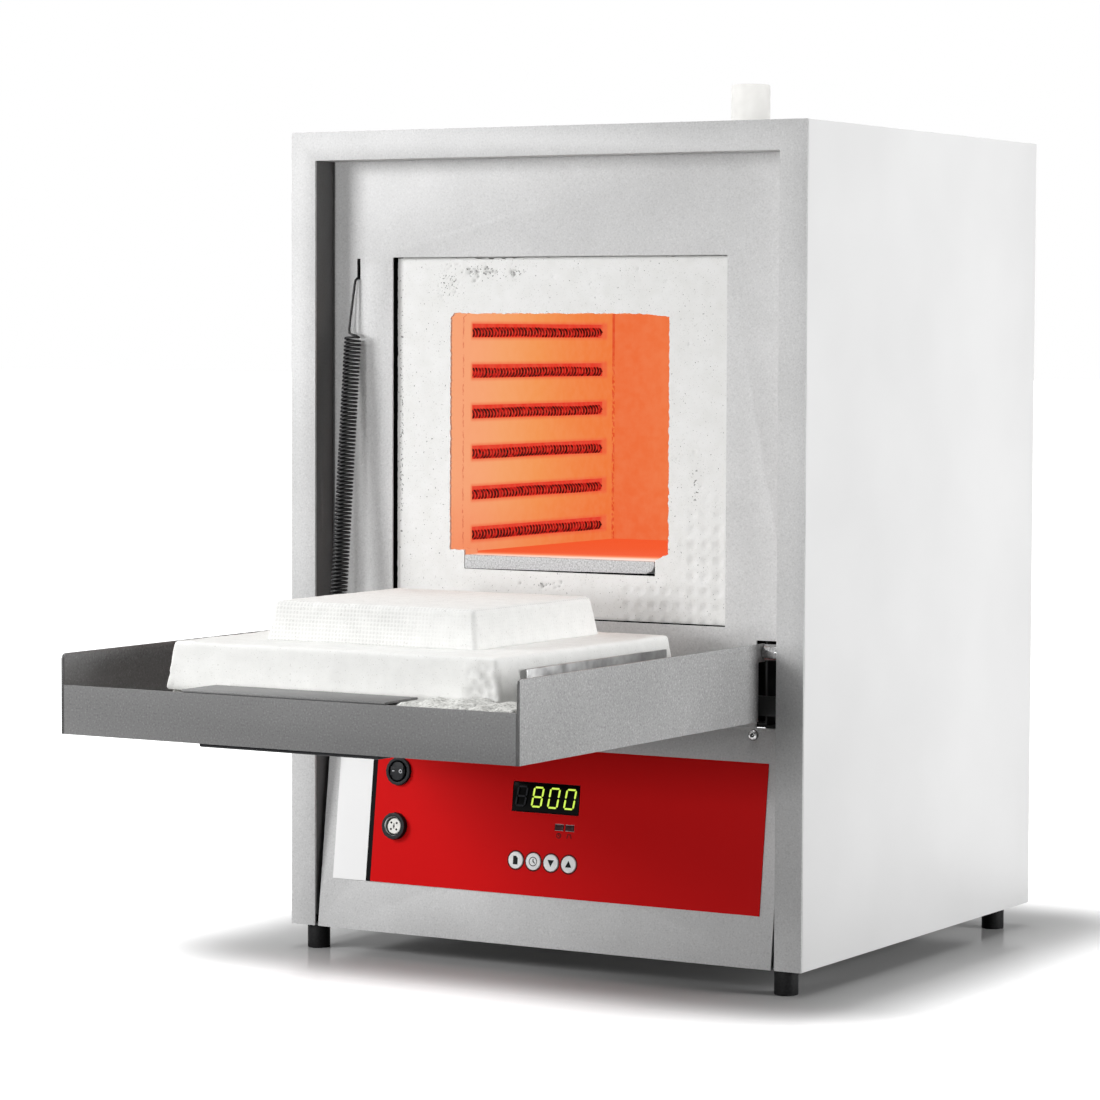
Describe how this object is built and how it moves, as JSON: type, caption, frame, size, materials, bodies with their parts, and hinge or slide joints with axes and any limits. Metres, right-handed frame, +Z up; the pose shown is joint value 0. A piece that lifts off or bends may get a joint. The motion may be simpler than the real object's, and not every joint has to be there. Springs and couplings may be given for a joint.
{
  "type": "laboratory chamber furnace",
  "caption": "Bench-top chamber furnace with a drop-down insulated door, spring balanced, heated side walls, a sloped control panel and a ceramic chimney.",
  "frame": {"origin": "on the bench, under the middle of the whole furnace with its door open and level", "axes": "+Z up, +X to the right of someone who stands in front, +Y from the open door to the furnace's back"},
  "size_m": [0.375, 0.6446, 0.5755],
  "materials": {
    "silver_paint": "silver-grey textured powder coat",
    "white_paint": "smooth near-white paint",
    "door_paint": "grey textured powder coat",
    "zinc_plate": "zinc-plated sheet steel",
    "bright_steel": "bright plated fastener",
    "spring_black": "black spring wire",
    "board_white": "vacuum-formed fibre insulation, off-white and slightly pitted",
    "glowing_board": "fibre insulation at orange heat",
    "hearth_grey": "grainy grey refractory tile",
    "heater_wire": "resistance wire at dark red heat",
    "white_ceramic": "matt white ceramic",
    "red_film": "red printed panel film with a bare white strip",
    "dark_window": "dark display window with lit green digits",
    "lamp_dark": "small unlit indicator lens",
    "key_white": "white key cap with a dark icon",
    "black_plastic": "black moulded plastic",
    "circuit_green": "green circuit board",
    "insert_white": "off-white socket insert",
    "rubber": "black rubber foot"
  },
  "bodies": {
    "cabinet": {"base_tray": "zinc_plate", "outer_case": "white_paint", "front_frame": "silver_paint", "inner_front_panel": "silver_paint", "back_panel": "zinc_plate", "foot_front_left": "rubber", "foot_front_right": "rubber", "foot_rear_left": "rubber", "foot_rear_right": "rubber", "control_panel": "silver_paint", "panel_film": "red_film", "display_window": "dark_window", "controller_module": "black_plastic", "lamp_left": "lamp_dark", "lamp_right": "lamp_dark", "key_board": "circuit_green", "board_frame": "black_plastic", "switch_body": "black_plastic", "socket_shell": "black_plastic", "socket_insert": "insert_white", "panel_screw_left": "bright_steel", "panel_screw_right": "bright_steel", "bridge": "zinc_plate", "insulation_shell": "zinc_plate", "insulation_back_plate": "zinc_plate", "front_insulation": "board_white", "back_insulation": "board_white", "floor_insulation": "glowing_board", "roof_insulation": "glowing_board", "side_insulation_left": "glowing_board", "side_insulation_right": "glowing_board", "hearth_tile": "hearth_grey", "element_left": "heater_wire", "element_right": "heater_wire", "terminal_bar_left": "white_ceramic", "terminal_bar_right": "white_ceramic", "chimney_tube": "white_ceramic", "thermocouple_sheath": "white_ceramic", "thermocouple_head": "white_ceramic", "relay_heat_sink": "zinc_plate", "solid_state_relay": "black_plastic", "mains_gland": "black_plastic", "fuse_holder": "black_plastic", "hinge_bolt_left": "bright_steel", "hinge_bolt_right": "bright_steel"},
    "door": {"door_tray": "door_paint", "door_blanket": "board_white", "door_slab": "board_white", "door_plug": "board_white", "retaining_angle_left": "zinc_plate", "retaining_angle_right": "zinc_plate", "front_clip": "door_paint", "pull_strip": "black_plastic", "spring_stud": "bright_steel"},
    "spring": {"door_spring": "spring_black"},
    "rocker": {"switch_rocker": "black_plastic"},
    "key_page": {"key_page": "key_white"},
    "key_clock": {"key_clock": "key_white"},
    "key_down": {"key_down": "key_white"},
    "key_up": {"key_up": "key_white"}
  },
  "joints": [
    {"name": "door_hinge", "type": "hinge", "parent": "cabinet", "child": "door", "pos_m": [0, -0.03125, 0.2095], "axis": [-1, 0, 0], "range_deg": [0, 90], "deforming": ["door_spring"]},
    {"name": "spring_swing", "type": "hinge", "parent": "cabinet", "child": "spring", "pos_m": [-0.149, -0.01825, 0.4384], "axis": [-1, 0, 0], "range_deg": [0, 3.6]},
    {"name": "switch_rock", "type": "hinge", "parent": "cabinet", "child": "rocker", "pos_m": [-0.111, -0.02508, 0.11935], "axis": [0, 0.121, 0.9927], "range_deg": [0, 16]},
    {"name": "key_page_press", "type": "slide", "parent": "cabinet", "child": "key_page", "axis": [0, 0.9927, -0.121], "range_m": [0, 0.0004], "stiffness_N_per_m": 500},
    {"name": "key_clock_press", "type": "slide", "parent": "cabinet", "child": "key_clock", "axis": [0, 0.9927, -0.121], "range_m": [0, 0.0004], "stiffness_N_per_m": 500},
    {"name": "key_down_press", "type": "slide", "parent": "cabinet", "child": "key_down", "axis": [0, 0.9927, -0.121], "range_m": [0, 0.0004], "stiffness_N_per_m": 500},
    {"name": "key_up_press", "type": "slide", "parent": "cabinet", "child": "key_up", "axis": [0, 0.9927, -0.121], "range_m": [0, 0.0004], "stiffness_N_per_m": 500}
  ],
  "couplings": [
    {"joint": "spring_swing", "follows": "door_hinge", "ratio": 0.03885}
  ]
}
